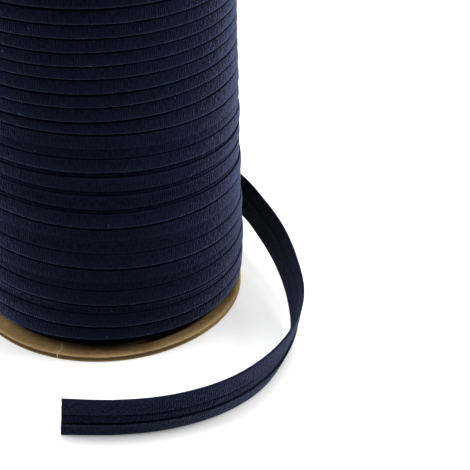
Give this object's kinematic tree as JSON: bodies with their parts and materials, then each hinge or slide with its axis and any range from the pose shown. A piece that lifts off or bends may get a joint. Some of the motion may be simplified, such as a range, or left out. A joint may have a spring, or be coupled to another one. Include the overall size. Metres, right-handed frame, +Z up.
{
  "type": "reel of bias tape",
  "caption": "Navy folded bias tape wound in slanting wraps on a round card reel, its loose end standing on edge in a loop round the foot.",
  "frame": {"origin": "centre of the lower flange's underside, on the floor", "axes": "+Z up along the reel's axis; -Y is the front, where the loose end's cut lies; +X is the side the loose end loops round"},
  "size_m": [0.127, 0.1559, 0.15],
  "materials": {
    "kraft_board": "matte brown board",
    "navy_tape": "matte navy ribbed weave"
  },
  "bodies": {
    "root": {"flange_bottom": "kraft_board", "flange_top": "kraft_board", "tape_roll": "navy_tape", "loose_tape": "navy_tape"}
  },
  "joints": []
}
